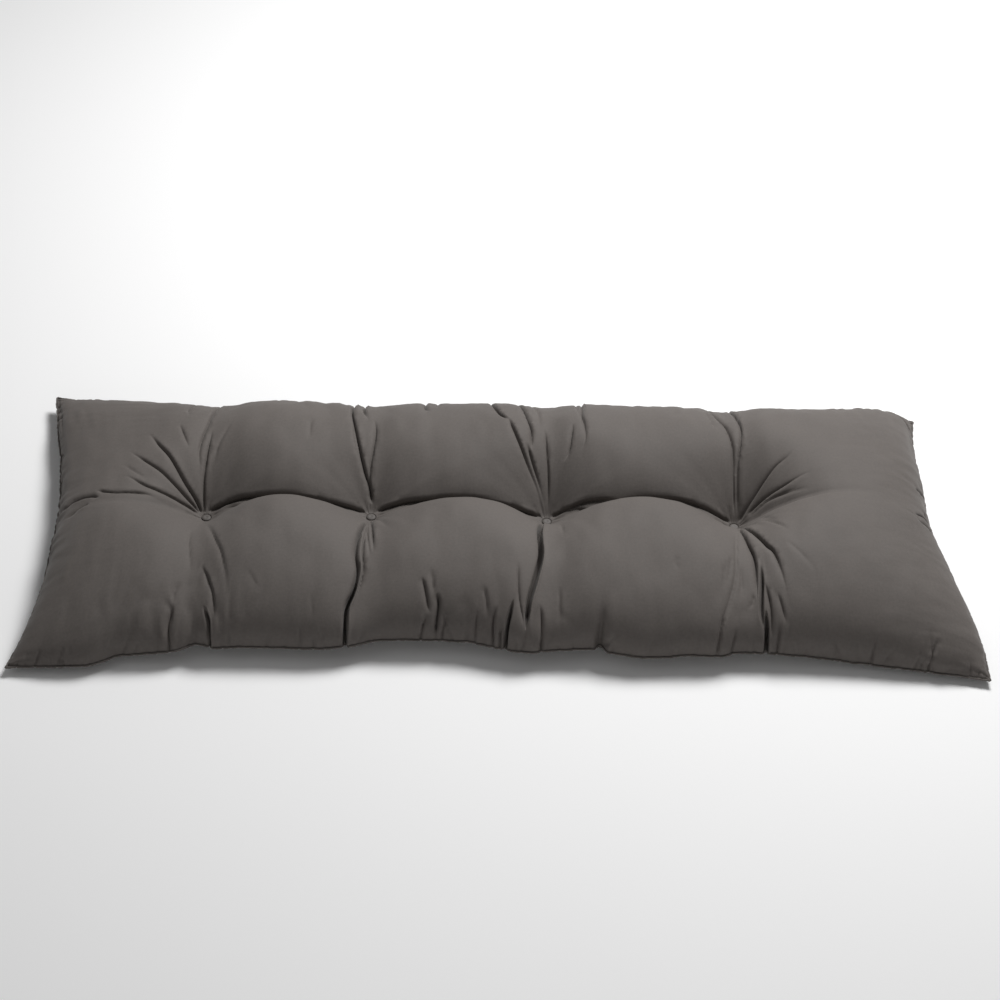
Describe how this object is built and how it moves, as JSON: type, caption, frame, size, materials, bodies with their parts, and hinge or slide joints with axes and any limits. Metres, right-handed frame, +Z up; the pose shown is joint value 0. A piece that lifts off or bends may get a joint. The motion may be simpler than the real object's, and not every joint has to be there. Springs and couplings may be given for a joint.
{
  "type": "bench cushion",
  "caption": "Long tufted bench cushion: a filled, knife-edged rectangular pad drawn in along its centre line by round self-coloured buttons.",
  "frame": {"origin": "centre of the bounding box's underside, on the surface that the cushion lies on", "axes": "+X along the cushion, -Y its front long edge, +Z up through its thickness"},
  "size_m": [1.21, 0.5, 0.1024],
  "materials": {
    "cushion_cloth": "fine plain-woven brushed polyester, dark warm grey, soft sheen",
    "button_cloth": "the same cloth drawn tight over a small button, slightly glossier"
  },
  "bodies": {
    "root": {"cushion": "cushion_cloth", "tuft_button_1": "button_cloth", "tuft_button_2": "button_cloth", "tuft_button_3": "button_cloth", "tuft_button_4": "button_cloth", "lower_button_1": "button_cloth", "lower_button_2": "button_cloth", "lower_button_3": "button_cloth", "lower_button_4": "button_cloth"}
  },
  "joints": []
}
